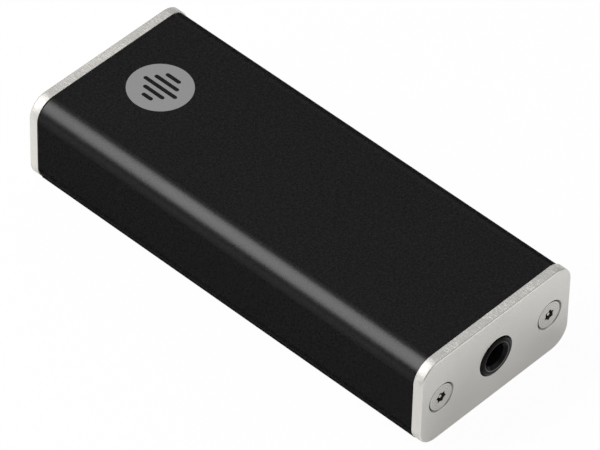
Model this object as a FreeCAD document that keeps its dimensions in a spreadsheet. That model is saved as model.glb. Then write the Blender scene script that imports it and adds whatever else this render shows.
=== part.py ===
import FreeCAD, Part
import os

import Sketcher
from FreeCAD import Placement, Rotation, Vector

# A pocket USB converter and headphone amplifier. A black anodised sleeve holds one circuit
# board in its grooves. A flat aluminium plate closes each end with two countersunk screws.
#
# Millimetres and degrees. X runs across the case, Y along it from the headphone end to the
# USB end, Z up. The origin is under the middle of the object, on the surface that it lies on.

sizes = {
    # case
    "case_width": 30.0,             # across an end plate
    "case_height": 15.0,
    "case_length": 75.0,            # between the outer faces of the end plates
    "plate_thickness": 1.6,
    "plate_corner_radius": 3.2,
    "plate_edge_chamfer": 0.22,
    "sleeve_inset": 0.2,            # how far the sleeve lies inside the plates' outline
    "wall": 1.3,
    "ledge_height": 1.0,            # from the sleeve's floor up to the board
    "rail_height": 0.8,             # the rail over the board's edge
    "rail_reach": 1.2,
    # end screws and the channels that they cut their thread in
    "screw_inset": 4.1,             # from the plate's side to the screw's axis
    "screw_diameter": 2.5,
    "screw_length": 8.0,
    "screw_tip_chamfer": 0.35,
    "head_diameter": 4.3,
    "head_cone": 90.0,              # angle of the head and of its countersink
    "head_rim": 0.2,                # its straight edge
    "head_recess": 0.08,            # of the head's top, below the plate's face
    "sink_gap": 0.03,               # between the head's cone and its countersink
    "shank_gap": 0.15,              # round the shank, in the plate
    "thread_gap": 0.03,             # round the shank, in the sleeve's channel
    "channel_wall": 0.9,
    "channel_web": 2.0,
    "channel_slot": 0.5,
    "socket_core": 1.52,            # six-lobed drive: circle between the lobes
    "socket_reach": 2.1,            # over two lobes
    "socket_lobe": 0.46,
    "socket_depth": 1.0,
    "socket_pin": 0.55,             # the pin in the middle of the drive
    "socket_pin_recess": 0.15,      # of the pin's top, below the head's
    "front_left_turn": 12.0,        # how each screw was left turned
    "front_right_turn": 38.0,
    "rear_left_turn": 5.0,
    "rear_right_turn": 27.0,
    # circuit board
    "board_thickness": 1.6,
    "board_slide_gap": 0.1,         # over the board, in its groove
    "board_side_gap": 0.2,
    "board_end_gap": 0.3,
    # headphone socket
    "nose_diameter": 6.0,
    "nose_gap": 0.25,               # round the nose, in the front plate
    "nose_stand_out": 0.3,
    "nose_round": 0.45,
    "jack_bore": 3.6,
    "jack_entry": 0.6,              # chamfer at the mouth
    "jack_bore_length": 4.6,
    "jack_relief": 4.2,             # bore behind the mouth, where the springs work
    "jack_axis_height": 3.4,
    "jack_top": 3.1,                # of the block, above the bore's axis
    "jack_width": 8.0,
    "jack_length": 11.5,
    "jack_plate_gap": 0.2,
    "peg_diameter": 1.0,
    "peg_length": 1.2,
    "peg_gap": 0.05,
    "front_peg_depth": 3.2,         # from the nose's tip
    "rear_peg_depth": 11.9,
    # the headphone socket's contact springs, with depths from the nose's tip
    "leaf_thickness": 0.2,
    "leaf_width": 1.2,
    "leaf_gap": 0.15,               # beside a spring, in its slot
    "leaf_stand_off": 0.35,         # from the relief to a relaxed spring
    "bump_radius": 1.35,            # from the bore's axis to a spring's bump
    "bump_run": 1.0,                # along the socket, each side of the bump
    "root_gap": 0.1,                # between a spring and its terminal
    "tip_bump_depth": 11.6,
    "tip_root_depth": 5.6,
    "ring_bump_depth": 8.4,
    "ring_root_depth": 12.4,
    "ground_bump_depth": 6.0,
    "ground_root_depth": 10.4,
    "terminal_width": 0.8,
    "pin_stick_out": 0.5,           # below the board
    "pin_gap": 0.15,                # round a pin, in the board
    # USB socket
    "usb_width": 7.7,
    "usb_height": 3.9,
    "usb_length": 9.2,
    "usb_wall": 0.3,
    "usb_corner": 0.55,             # radius of the shell's outer corners
    "usb_shoulder": 1.4,            # height of the sloped lower corners
    "usb_slope": 0.8,
    "usb_recess": 0.2,              # of the mouth, inside the rear plate's face
    "usb_gap": 0.25,                # round the shell, in the rear plate
    "usb_block_gap": 0.05,          # round the plastic block, in the shell
    "usb_block_length": 3.0,
    "usb_tongue_width": 4.9,
    "usb_tongue_height": 0.9,
    "usb_tongue_length": 4.8,
    "usb_tongue_lead": 0.25,        # chamfer round the tongue's end
    "usb_contact_pitch": 0.8,
    "usb_contacts": 5,
    "usb_contact_width": 0.35,
    "usb_contact_thickness": 0.15,
    "usb_contact_set_back": 0.3,    # from the tongue's end
    "usb_foot_length": 0.9,
    "usb_tab_length": 1.2,
    "usb_front_tab": 2.6,           # from the mouth
    "usb_rear_tab": 6.6,
    # middle of each board part, from the board's front edge
    "regulator_station": 6.0,
    "output_can_station": 16.0,
    "amplifier_station": 22.4,
    "converter_station": 30.2,
    "crystal_station": 37.2,
    "controller_station": 44.1,
    "memory_station": 51.6,
    "inlet_set_back": 6.4,          # of the choke and surge diode, from the USB mouth
    "part_gap": 0.4,                # between board parts that stand side by side
    "seat_gap": 0.05,               # of solder under a chip or a chip component
    # can capacitors
    "output_can": 6.3,
    "output_can_height": 5.4,
    "supply_can": 4.0,
    "supply_can_height": 5.0,
    "can_base_margin": 0.15,
    "can_base_height": 0.6,
    "can_base_corner": 1.1,
    "can_shoulder": 0.4,
    "can_groove_height": 1.1,
    "can_groove_depth": 0.2,
    "can_tab_width": 0.8,
    "can_tab_reach": 0.4,
    # chips
    "lead_thickness": 0.15,
    "moulding_chamfer": 0.15,
    "mark_diameter": 0.5,           # the dimple beside the first lead
    "mark_depth": 0.06,
    "mark_inset": 0.55,
    # quartz crystal
    "crystal_length": 5.0,
    "crystal_width": 3.2,
    "crystal_tray_height": 0.7,
    "crystal_lid_height": 0.4,
    "crystal_lid_margin": 0.35,
    # choke
    "choke_side": 3.0,
    "choke_height": 1.4,
    "choke_corner": 0.5,
    "choke_dish": 1.9,
    "choke_dish_depth": 0.2,
    "choke_foot": 0.8,
    # chip capacitors and resistors
    "chip_length": 1.6,
    "chip_width": 0.8,
    "chip_capacitor_height": 0.8,
    "chip_resistor_height": 0.45,
    "chip_end": 0.3,
    "chip_pitch": 1.7,
    "chip_aisle": 6.2,              # from the board's middle line
    "amplifier_row": 3,             # how many stand on each side of the chip
    "converter_row": 5,
    "controller_row": 5,
}

# Chips: the moulding, then the leads on one side: pitch, how many, width and reach
chips = {
    "amplifier": {"length": 5.0, "width": 4.4, "height": 1.1,
                  "lead_pitch": 0.65, "leads": 7, "lead_width": 0.25, "lead_reach": 1.0},
    "converter": {"length": 9.7, "width": 4.4, "height": 1.1,
                  "lead_pitch": 0.65, "leads": 14, "lead_width": 0.25, "lead_reach": 1.0},
    "controller": {"length": 7.0, "width": 7.0, "height": 1.4,
                   "lead_pitch": 0.5, "leads": 12, "lead_width": 0.22, "lead_reach": 1.0},
    "memory": {"length": 4.9, "width": 3.9, "height": 1.5,
               "lead_pitch": 1.27, "leads": 4, "lead_width": 0.41, "lead_reach": 1.05},
    "regulator": {"length": 2.9, "width": 1.6, "height": 1.1,
                  "lead_pitch": 0.95, "leads": 3, "lead_width": 0.4, "lead_reach": 0.6},
    "surge": {"length": 2.9, "width": 1.6, "height": 1.0,
              "lead_pitch": 0.95, "leads": 3, "lead_width": 0.35, "lead_reach": 0.6},
}
for chip, chip_sizes in chips.items():
    for name, value in chip_sizes.items():
        sizes[f"{chip}_{name}"] = value

# Places that more than one piece uses, as expressions on the sheet
front_face = "((Sizes.nose_stand_out - Sizes.case_length) / 2)"
rear_face = f"({front_face} + Sizes.case_length)"
mid_height = "(Sizes.case_height / 2)"
screw_across = "(Sizes.case_width / 2 - Sizes.screw_inset)"
sleeve_front = f"({front_face} + Sizes.plate_thickness)"
sleeve_length = "(Sizes.case_length - 2 * Sizes.plate_thickness)"
sleeve_half = "(Sizes.case_width / 2 - Sizes.sleeve_inset)"
sleeve_corner = "(Sizes.plate_corner_radius - Sizes.sleeve_inset)"
cavity_half = f"({sleeve_half} - Sizes.wall)"
cavity_floor = "(Sizes.sleeve_inset + Sizes.wall)"
board_under = f"({cavity_floor} + Sizes.ledge_height)"
board_top = f"({board_under} + Sizes.board_thickness)"
board_front = f"({sleeve_front} + Sizes.board_end_gap)"
board_length = f"({sleeve_length} - 2 * Sizes.board_end_gap)"
board_half = f"({cavity_half} - Sizes.board_side_gap)"
nose_tip = f"({front_face} - Sizes.nose_stand_out)"
nose_length = "(Sizes.nose_stand_out + Sizes.plate_thickness + Sizes.jack_plate_gap)"
jack_axis = f"({board_top} + Sizes.jack_axis_height)"
leaf_inner = "(Sizes.jack_relief / 2 + Sizes.leaf_stand_off)"
leaf_outer = f"({leaf_inner} + Sizes.leaf_thickness)"
slot_half = "(Sizes.leaf_width / 2 + Sizes.leaf_gap)"
usb_mouth = f"({rear_face} - Sizes.usb_recess)"
tongue_under = "((Sizes.usb_height - Sizes.usb_tongue_height) / 2)"

axis_x, axis_y, axis_z = Vector(1, 0, 0), Vector(0, 1, 0), Vector(0, 0, 1)
facing_front, facing_rear = Rotation(), Rotation(axis_z, 180)
left_and_right = ((-1, "left"), (1, "right"))
near = 1e-4                         # how close an edge must lie to count as found


def make_sheet(doc):
    sheet = doc.addObject("Spreadsheet::Sheet", "Sizes")
    for row, (name, value) in enumerate(sizes.items(), start=1):
        sheet.set(f"A{row}", name)
        sheet.set(f"B{row}", str(value))
        sheet.setAlias(f"B{row}", name)
    doc.recompute()


# Helpers: bodies, sketches and features tied to the sheet

def evaluate(doc, expression):
    return doc.Sizes.evalExpression(expression)


def new_body(doc, label, rotation=facing_front, **place):
    body = doc.addObject("PartDesign::Body", label)
    body.Label = label
    body.AllowCompound = True
    body.Placement = Placement(Vector(), rotation)
    for axis, expression in place.items():
        body.setExpression(f"Placement.Base.{axis}", expression)
    return body


def origin_of(body, role):
    return next(feature for feature in body.Origin.OriginFeatures if feature.Role == role)


def sketch_on(body, name, role, offset="0"):
    sketch = body.newObject("Sketcher::SketchObject", name)
    sketch.AttachmentSupport = [(origin_of(body, role), "")]
    sketch.MapMode = "FlatFace"
    sketch.setExpression("AttachmentOffset.Base.z", offset)
    return sketch


def tie(sketch, name, constraint, expression):
    index = sketch.addConstraint(constraint)
    sketch.renameConstraint(index, name)
    sketch.setExpression(f"Constraints.{name}", expression)


def pin_point(sketch, line, point, across, up):
    for kind, expression in (("DistanceX", across), ("DistanceY", up)):
        value = sketch.evalExpression(expression)
        tie(sketch, f"{kind}{line}", Sketcher.Constraint(kind, -1, 1, line, point, value), expression)


def polygon(sketch, corners):
    first = sketch.GeometryCount
    points = [Vector(sketch.evalExpression(across), sketch.evalExpression(up)) for across, up in corners]
    for start, end in zip(points, points[1:] + points[:1]):
        sketch.addGeometry(Part.LineSegment(start, end), False)
    for side, (across, up) in enumerate(corners):
        following = first + (side + 1) % len(corners)
        sketch.addConstraint(Sketcher.Constraint("Coincident", first + side, 2, following, 1))
        pin_point(sketch, first + side, 1, across, up)


def rectangle(sketch, left, right, bottom, top):
    polygon(sketch, [(left, bottom), (right, bottom), (right, top), (left, top)])


def circle(sketch, across, up, diameter):
    centre = Vector(sketch.evalExpression(across), sketch.evalExpression(up))
    width = sketch.evalExpression(diameter)
    index = sketch.addGeometry(Part.Circle(centre, axis_z, width / 2), False)
    tie(sketch, f"Diameter{index}", Sketcher.Constraint("Diameter", index, width), diameter)
    pin_point(sketch, index, 3, across, up)


def pad(body, name, sketch, length, backwards=False):
    feature = body.newObject("PartDesign::Pad", name)
    feature.Profile = sketch
    feature.Reversed = backwards
    feature.setExpression("Length", length)
    return feature


def pocket(body, name, sketch, length):
    feature = body.newObject("PartDesign::Pocket", name)
    feature.Profile = sketch
    feature.setExpression("Length", length)
    return feature


def turn_round(body, name, sketch):
    feature = body.newObject("PartDesign::Revolution", name)
    feature.Profile = sketch
    feature.ReferenceAxis = (sketch, ["V_Axis"])
    feature.Angle = 360
    return feature


def box(body, name, low, high, cut=False):
    feature = body.newObject("PartDesign::SubtractiveBox" if cut else "PartDesign::AdditiveBox", name)
    for side, axis, start, end in zip(("Length", "Width", "Height"), "xyz", low, high):
        feature.setExpression(side, f"({end}) - ({start})")
        feature.setExpression(f"Placement.Base.{axis}", start)
    return feature


def row_of(body, name, originals, role, length, count):
    feature = body.newObject("PartDesign::LinearPattern", name)
    feature.Originals = originals
    feature.Direction = (origin_of(body, role), [""])
    feature.setExpression("Length", length)
    feature.setExpression("Occurrences", count)
    body.Tip = feature


def edges_where(feature, test):
    feature.Document.recompute()
    return [f"Edge{number}" for number, edge in enumerate(feature.Shape.Edges, start=1) if test(edge)]


def fillet(body, name, base, radius, test):
    feature = body.newObject("PartDesign::Fillet", name)
    feature.Base = (base, edges_where(base, test))
    feature.setExpression("Radius", radius)
    return feature


def chamfer(body, name, base, size, test):
    feature = body.newObject("PartDesign::Chamfer", name)
    feature.Base = (base, edges_where(base, test))
    feature.setExpression("Size", size)
    return feature


def straight(edge):
    return edge.Curve.TypeId == "Part::GeomLine"


def along(axis):
    return lambda edge: straight(edge) and edge.Vertexes[0].Point.distanceToLine(
        edge.Vertexes[1].Point, axis) < near


def flat_at(axis, height):
    return lambda edge: all(abs(vertex.Point.dot(axis) - height) < near for vertex in edge.Vertexes)


def group(doc, label, members):
    compound = doc.addObject("Part::Compound", label)
    compound.Label = label
    compound.Links = members
    return compound


# Case

def body_sleeve(doc):
    body = new_body(doc, "body_sleeve", y=sleeve_front)
    outline = sketch_on(body, "Outline", "XZ_Plane")
    rectangle(outline, f"-{sleeve_half}", sleeve_half,
              "Sizes.sleeve_inset", "Sizes.case_height - Sizes.sleeve_inset")
    bar = pad(body, "Bar", outline, sleeve_length, backwards=True)
    fillet(body, "Corners", bar, sleeve_corner, along(axis_y))
    cavity = sketch_on(body, "Cavity", "XZ_Plane")
    rectangle(cavity, f"-{cavity_half}", cavity_half,
              cavity_floor, "Sizes.case_height - Sizes.sleeve_inset - Sizes.wall")
    hollow = pocket(body, "Hollow", cavity, sleeve_length)
    side = evaluate(doc, cavity_half)
    fillet(body, "CavityCorners", hollow, f"{sleeve_corner} - Sizes.wall",
           lambda edge: along(axis_y)(edge) and abs(abs(edge.Vertexes[0].X) - side) < near)
    rails_and_channels(body)
    return body


def rails_and_channels(body):
    """The ledges and rails that hold the board's edges, and the open tubes for the screws."""
    rails, webs, tubes, holes, slots = [
        sketch_on(body, name, "XZ_Plane") for name in
        ("RailLines", "WebLines", "TubeLines", "HoleLines", "SlotLines")]
    hole_radius = "(Sizes.screw_diameter / 2 + Sizes.thread_gap)"
    tube_radius = f"({hole_radius} + Sizes.channel_wall)"
    rail_foot = f"({board_top} + Sizes.board_slide_gap)"
    for side, _ in left_and_right:
        inner = f"{side} * ({cavity_half} - Sizes.rail_reach)"
        in_wall = f"{side} * ({cavity_half} + Sizes.wall / 2)"
        rectangle(rails, inner, in_wall, f"{cavity_floor} - Sizes.wall / 2", board_under)
        rectangle(rails, inner, in_wall, rail_foot, f"{rail_foot} + Sizes.rail_height")
        centre = f"{side} * {screw_across}"
        rectangle(webs, centre, in_wall, f"{mid_height} - Sizes.channel_web / 2",
                  f"{mid_height} + Sizes.channel_web / 2")
        circle(tubes, centre, mid_height, f"2 * {tube_radius}")
        circle(holes, centre, mid_height, f"2 * {hole_radius}")
        rectangle(slots, centre, f"{side} * ({screw_across} - {tube_radius} - Sizes.channel_wall)",
                  f"{mid_height} - Sizes.channel_slot / 2", f"{mid_height} + Sizes.channel_slot / 2")
    pad(body, "Rails", rails, sleeve_length, backwards=True)
    pad(body, "Webs", webs, sleeve_length, backwards=True)
    pad(body, "Tubes", tubes, sleeve_length, backwards=True)
    pocket(body, "ScrewChannels", holes, sleeve_length)
    pocket(body, "ChannelSlots", slots, sleeve_length)


def end_plate(doc, label, rotation, face):
    body = new_body(doc, label, rotation, y=face)
    outline = sketch_on(body, "Outline", "XZ_Plane")
    rectangle(outline, "-Sizes.case_width / 2", "Sizes.case_width / 2", "0", "Sizes.case_height")
    blank = pad(body, "Blank", outline, "Sizes.plate_thickness", backwards=True)
    corners = fillet(body, "Corners", blank, "Sizes.plate_corner_radius", along(axis_y))
    chamfer(body, "FaceEdge", corners, "Sizes.plate_edge_chamfer", flat_at(axis_y, 0))
    places = sketch_on(body, "ScrewPlaces", "XZ_Plane")
    for side, _ in left_and_right:
        circle(places, f"{side} * {screw_across}", mid_height, "Sizes.screw_diameter")
    doc.recompute()
    holes = body.newObject("PartDesign::Hole", "ScrewHoles")
    holes.Profile = places
    holes.Threaded = False
    holes.DepthType = "ThroughAll"
    holes.HoleCutType = "Countersink"
    holes.HoleCutCustomValues = True
    holes.setExpression("HoleCutCountersinkAngle", "Sizes.head_cone")
    holes.setExpression("Diameter", "Sizes.screw_diameter + 2 * Sizes.shank_gap")
    sink_depth = "(Sizes.head_recess + Sizes.head_rim + Sizes.sink_gap)"
    holes.setExpression("HoleCutDiameter",
                        f"Sizes.head_diameter + 2 * {sink_depth} * tan(Sizes.head_cone / 2)")
    return body


def front_plate(doc):
    body = end_plate(doc, "front_plate", facing_front, front_face)
    opening = sketch_on(body, "NoseOpening", "XZ_Plane")
    circle(opening, "0", jack_axis, "Sizes.nose_diameter + 2 * Sizes.nose_gap")
    pocket(body, "NoseHole", opening, "Sizes.plate_thickness")
    return body


def rear_plate(doc):
    body = end_plate(doc, "rear_plate", facing_rear, rear_face)
    opening = sketch_on(body, "UsbOpening", "XZ_Plane")
    usb_outline(opening, "Sizes.usb_gap", board_top)
    hole = pocket(body, "UsbHole", opening, "Sizes.plate_thickness")
    reach = evaluate(doc, "Sizes.usb_width / 2 + Sizes.usb_gap")
    fillet(body, "UsbHoleCorners", hole, "Sizes.usb_corner + Sizes.usb_gap",
           lambda edge: along(axis_y)(edge) and abs(edge.Vertexes[0].X) < reach + near)
    return body


def screw(doc, label, rotation, across, head_top, turn):
    body = new_body(doc, label, rotation.multiply(Rotation(axis_y, turn)),
                    x=across, y=head_top, z=mid_height)
    head, shank = "Sizes.head_diameter / 2", "Sizes.screw_diameter / 2"
    cone_end = f"Sizes.head_rim + ({head} - {shank}) / tan(Sizes.head_cone / 2)"
    profile = sketch_on(body, "Profile", "XY_Plane")
    polygon(profile, [("0", "0"), (head, "0"), (head, "Sizes.head_rim"), (shank, cone_end),
                      (shank, "Sizes.screw_length - Sizes.screw_tip_chamfer"),
                      (f"{shank} - Sizes.screw_tip_chamfer", "Sizes.screw_length"),
                      ("0", "Sizes.screw_length")])
    turn_round(body, "Turned", profile)
    core = sketch_on(body, "Core", "XZ_Plane")
    circle(core, "0", "0", "Sizes.socket_core")
    pocket(body, "Socket", core, "Sizes.socket_depth")
    tip = sketch_on(body, "LobeTip", "XZ_Plane")
    circle(tip, "(Sizes.socket_reach - Sizes.socket_lobe) / 2", "0", "Sizes.socket_lobe")
    lobe = pocket(body, "Lobe", tip, "Sizes.socket_depth")
    lobes = body.newObject("PartDesign::PolarPattern", "Lobes")
    lobes.Originals = [lobe]
    lobes.Axis = (origin_of(body, "Y_Axis"), [""])
    lobes.Angle = 360
    lobes.Occurrences = 6
    body.Tip = lobes
    pin_line = sketch_on(body, "PinLine", "XZ_Plane", "-Sizes.socket_pin_recess")
    circle(pin_line, "0", "0", "Sizes.socket_pin")
    pad(body, "Pin", pin_line, "Sizes.socket_depth - Sizes.socket_pin_recess", backwards=True)
    return body


def end_screws(doc, end, rotation, head_top):
    pair = []
    for side, name in left_and_right:
        turn = evaluate(doc, f"Sizes.{end}_{name}_turn")
        pair.append(screw(doc, f"{end}_{name}_screw", rotation, f"{side} * {screw_across}",
                          head_top, turn))
    return group(doc, f"{end}_screws", pair)


# Circuit board

def circuit_board(doc):
    body = new_body(doc, "circuit_board", y=board_front, z=board_under)
    outline = sketch_on(body, "Outline", "XY_Plane")
    rectangle(outline, f"-{board_half}", board_half, "0", board_length)
    pad(body, "Laminate", outline, "Sizes.board_thickness")
    pegs = sketch_on(body, "PegPlaces", "XY_Plane", "Sizes.board_thickness")
    for peg in ("front", "rear"):
        circle(pegs, "0", f"{nose_tip} - {board_front} + Sizes.{peg}_peg_depth",
               "Sizes.peg_diameter + 2 * Sizes.peg_gap")
    pocket(body, "PegHoles", pegs, "Sizes.board_thickness")
    for name, low, high in terminal_blades() + usb_tabs():
        box(body, f"Slot_{name}",
            [f"{low[0]} - Sizes.pin_gap", f"{low[1]} - {board_front} - Sizes.pin_gap", "0"],
            [f"{high[0]} + Sizes.pin_gap", f"{high[1]} - {board_front} + Sizes.pin_gap",
             "Sizes.board_thickness"], cut=True)
    return body


# Headphone socket: each body's Y starts at the tip of the nose, and its Z at the bore's axis

def terminal_blades():
    """Each terminal's name, and its low and high corner in the object's X and Y."""
    tip_end = f"({nose_tip} + Sizes.tip_root_depth - Sizes.root_gap)"
    ring_start = f"({nose_tip} + Sizes.ring_root_depth + Sizes.root_gap)"
    ground_start = f"({nose_tip} + Sizes.ground_root_depth + Sizes.root_gap)"
    half = "Sizes.terminal_width / 2"
    return [
        ("tip", (leaf_inner, f"{tip_end} - Sizes.terminal_width"), (leaf_outer, tip_end)),
        ("ring", (f"-{leaf_outer}", ring_start),
         (f"-{leaf_inner}", f"{ring_start} + Sizes.terminal_width")),
        ("ground", (f"-{half}", ground_start), (half, f"{ground_start} + Sizes.leaf_thickness")),
    ]


def jack_housing(doc):
    body = new_body(doc, "jack_housing", y=nose_tip, z=jack_axis)
    side = "Sizes.jack_width / 2"
    block_lines = sketch_on(body, "BlockLines", "XZ_Plane", f"-{nose_length}")
    rectangle(block_lines, f"-{side}", side, "-Sizes.jack_axis_height", "Sizes.jack_top")
    pad(body, "Block", block_lines, "Sizes.jack_length", backwards=True)
    nose_line = sketch_on(body, "NoseLine", "XZ_Plane")
    circle(nose_line, "0", "0", "Sizes.nose_diameter")
    nose = pad(body, "Nose", nose_line, nose_length, backwards=True)
    fillet(body, "NoseRound", nose, "Sizes.nose_round", flat_at(axis_y, 0))
    mouth_line = sketch_on(body, "MouthLine", "XZ_Plane")
    circle(mouth_line, "0", "0", "Sizes.jack_bore")
    mouth = pocket(body, "Bore", mouth_line, "Sizes.jack_bore_length")
    rim = evaluate(doc, "Sizes.jack_bore / 2")
    chamfer(body, "Entry", mouth, "Sizes.jack_entry",
            lambda edge: flat_at(axis_y, 0)(edge) and abs(edge.Vertexes[0].Point.Length - rim) < near)
    relief_line = sketch_on(body, "ReliefLine", "XZ_Plane", "-Sizes.jack_bore_length")
    circle(relief_line, "0", "0", "Sizes.jack_relief")
    pocket(body, "Relief", relief_line, f"{nose_length} + Sizes.jack_length - Sizes.jack_bore_length")
    spring_slots(body, side)
    peg_lines = sketch_on(body, "PegLines", "XY_Plane", "-Sizes.jack_axis_height")
    for peg in ("front", "rear"):
        circle(peg_lines, "0", f"Sizes.{peg}_peg_depth", "Sizes.peg_diameter")
    pad(body, "Pegs", peg_lines, "Sizes.peg_length", backwards=True)
    return body


def spring_slots(body, side):
    """Slots from the bore for the springs, and channels down to the board for the terminals."""
    floor = "-Sizes.jack_axis_height"
    past_bump = "(Sizes.bump_run + Sizes.leaf_gap)"
    blade_room = "(2 * Sizes.root_gap + Sizes.terminal_width)"
    tip_start = f"Sizes.tip_root_depth - {blade_room}"
    ring_end = f"Sizes.ring_root_depth + {blade_room}"
    box(body, "TipSlot", ["0", tip_start, f"-{slot_half}"],
        [side, f"Sizes.tip_bump_depth + {past_bump}", slot_half], cut=True)
    box(body, "TipChannel", [leaf_inner, tip_start, floor], [side, "Sizes.tip_root_depth", "0"], cut=True)
    box(body, "RingSlot", [f"-{side}", f"Sizes.ring_bump_depth - {past_bump}", f"-{slot_half}"],
        ["0", ring_end, slot_half], cut=True)
    box(body, "RingChannel", [f"-{side}", "Sizes.ring_root_depth", floor],
        [f"-{leaf_inner}", ring_end, "0"], cut=True)
    box(body, "GroundSlot", [f"-{slot_half}", f"Sizes.ground_bump_depth - {past_bump}", floor],
        [slot_half, "Sizes.ground_root_depth + 2 * Sizes.root_gap + Sizes.leaf_thickness", "0"], cut=True)


def jack_spring(doc, name, role, side, toward):
    """A strip with one bump into the bore, drawn in the plane that it bends in.

    side is the sign of the strip's place beside the bore, and toward the way it runs from its root.
    """
    body = new_body(doc, f"jack_{name}_spring", y=nose_tip, z=jack_axis)
    root, bump = f"Sizes.{name}_root_depth", f"Sizes.{name}_bump_depth"
    bend, end = f"{bump} - {toward} * Sizes.bump_run", f"{bump} + {toward} * Sizes.bump_run"
    outer, inner = f"{side} * {leaf_outer}", f"{side} * {leaf_inner}"
    strip = [(outer, root), (outer, bend), (f"{side} * (Sizes.bump_radius + Sizes.leaf_thickness)", bump),
             (outer, end), (inner, end), (f"{side} * Sizes.bump_radius", bump), (inner, bend),
             (inner, root)]
    if role == "YZ_Plane":
        strip = [(depth, height) for height, depth in strip]
    lines = sketch_on(body, "StripLines", role, "-Sizes.leaf_width / 2")
    polygon(lines, strip)
    pad(body, "Strip", lines, "Sizes.leaf_width")
    return body


def jack_terminals(doc):
    made = []
    foot = "-(Sizes.jack_axis_height + Sizes.board_thickness + Sizes.pin_stick_out)"
    tops = {"tip": "Sizes.leaf_width / 2", "ring": "Sizes.leaf_width / 2", "ground": f"-{leaf_inner}"}
    for name, low, high in terminal_blades():
        body = new_body(doc, f"jack_{name}_terminal", z=jack_axis)
        box(body, "Blade", [*low, foot], [*high, tops[name]])
        made.append(body)
    return made


# USB socket: its Z starts at the board

def usb_outline(sketch, gap, foot):
    half = f"(Sizes.usb_width / 2 + {gap})"
    foot_half = f"({half} - Sizes.usb_slope)"
    low, high = f"{foot} - {gap}", f"{foot} + Sizes.usb_height + {gap}"
    shoulder = f"{foot} + Sizes.usb_shoulder"
    polygon(sketch, [(f"-{foot_half}", low), (foot_half, low), (half, shoulder), (half, high),
                     (f"-{half}", high), (f"-{half}", shoulder)])


def usb_tabs():
    """Each shell tab's name, and its low and high corner in the object's X and Y."""
    outer, inner = "Sizes.usb_width / 2", "(Sizes.usb_width / 2 - Sizes.usb_wall)"
    tabs = []
    for place in ("front", "rear"):
        centre = f"({usb_mouth} - Sizes.usb_{place}_tab)"
        start, end = f"{centre} - Sizes.usb_tab_length / 2", f"{centre} + Sizes.usb_tab_length / 2"
        tabs.append((f"{place}_left", (f"-{outer}", start), (f"-{inner}", end)))
        tabs.append((f"{place}_right", (inner, start), (outer, end)))
    return tabs


def usb_shell(doc):
    body = new_body(doc, "usb_shell", y=usb_mouth, z=board_top)
    outside = sketch_on(body, "OutsideLines", "XZ_Plane")
    usb_outline(outside, "0", "0")
    blank = pad(body, "Blank", outside, "Sizes.usb_length")
    fillet(body, "OutsideCorners", blank, "Sizes.usb_corner", along(axis_y))
    inside = sketch_on(body, "InsideLines", "XZ_Plane", "Sizes.usb_length")
    usb_outline(inside, "(-Sizes.usb_wall)", "0")
    hollow = pocket(body, "Inside", inside, "Sizes.usb_length")
    fillet(body, "InsideCorners", hollow, "Sizes.usb_corner - Sizes.usb_wall", inside_shell(doc))
    for name, low, high in usb_tabs():
        box(body, f"Tab_{name}",
            [low[0], f"{low[1]} - {usb_mouth}", "-Sizes.board_thickness - Sizes.pin_stick_out"],
            [high[0], f"{high[1]} - {usb_mouth}", "Sizes.usb_shoulder + Sizes.usb_wall"])
    return body


def inside_shell(doc):
    """A test for the long edges of the shell's hollow."""
    inner = evaluate(doc, "Sizes.usb_width / 2 - Sizes.usb_wall")
    floor = evaluate(doc, "Sizes.usb_wall")
    ceiling = evaluate(doc, "Sizes.usb_height - Sizes.usb_wall")

    def test(edge):
        point = edge.Vertexes[0].Point
        return (along(axis_y)(edge) and abs(point.x) < inner + near
                and floor - near < point.z < ceiling + near)
    return test


def usb_insulator(doc):
    body = new_body(doc, "usb_insulator", y=f"{usb_mouth} - Sizes.usb_length", z=board_top)
    block_lines = sketch_on(body, "BlockLines", "XZ_Plane")
    usb_outline(block_lines, "(-Sizes.usb_wall - Sizes.usb_block_gap)", "0")
    block = pad(body, "Block", block_lines, "Sizes.usb_block_length", backwards=True)
    fillet(body, "BlockCorners", block, "Sizes.usb_corner - Sizes.usb_wall", along(axis_y))
    half, end = "Sizes.usb_tongue_width / 2", "(Sizes.usb_block_length + Sizes.usb_tongue_length)"
    tongue = box(body, "Tongue", [f"-{half}", "0", tongue_under],
                 [half, end, f"{tongue_under} + Sizes.usb_tongue_height"])
    chamfer(body, "TongueLead", tongue, "Sizes.usb_tongue_lead", flat_at(axis_y, evaluate(doc, end)))
    row_half = "Sizes.usb_contacts * Sizes.usb_contact_pitch / 2"
    box(body, "ContactRoom", [f"-{row_half}", "0", f"{tongue_under} - Sizes.usb_contact_thickness"],
        [row_half, "Sizes.usb_block_length", tongue_under], cut=True)
    return body


def usb_contacts(doc):
    body = new_body(doc, "usb_contacts", y=f"{usb_mouth} - Sizes.usb_length", z=board_top)
    row = "(Sizes.usb_contact_pitch * (Sizes.usb_contacts - 1))"
    low_x, high_x = (f"-{row} / 2 {sign} Sizes.usb_contact_width / 2" for sign in "-+")
    tip = "Sizes.usb_block_length + Sizes.usb_tongue_length - Sizes.usb_contact_set_back"
    thickness, foot = "Sizes.usb_contact_thickness", "Sizes.seat_gap"
    strip = box(body, "Strip", [low_x, f"-{thickness}", f"{tongue_under} - {thickness}"],
                [high_x, tip, tongue_under])
    drop = box(body, "Drop", [low_x, f"-{thickness}", foot], [high_x, "0", tongue_under])
    sole = box(body, "Sole", [low_x, "-Sizes.usb_foot_length", foot],
               [high_x, "0", f"{foot} + {thickness}"])
    row_of(body, "Contacts", [strip, drop, sole], "X_Axis", row, "Sizes.usb_contacts")
    return body


# Chips

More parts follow.
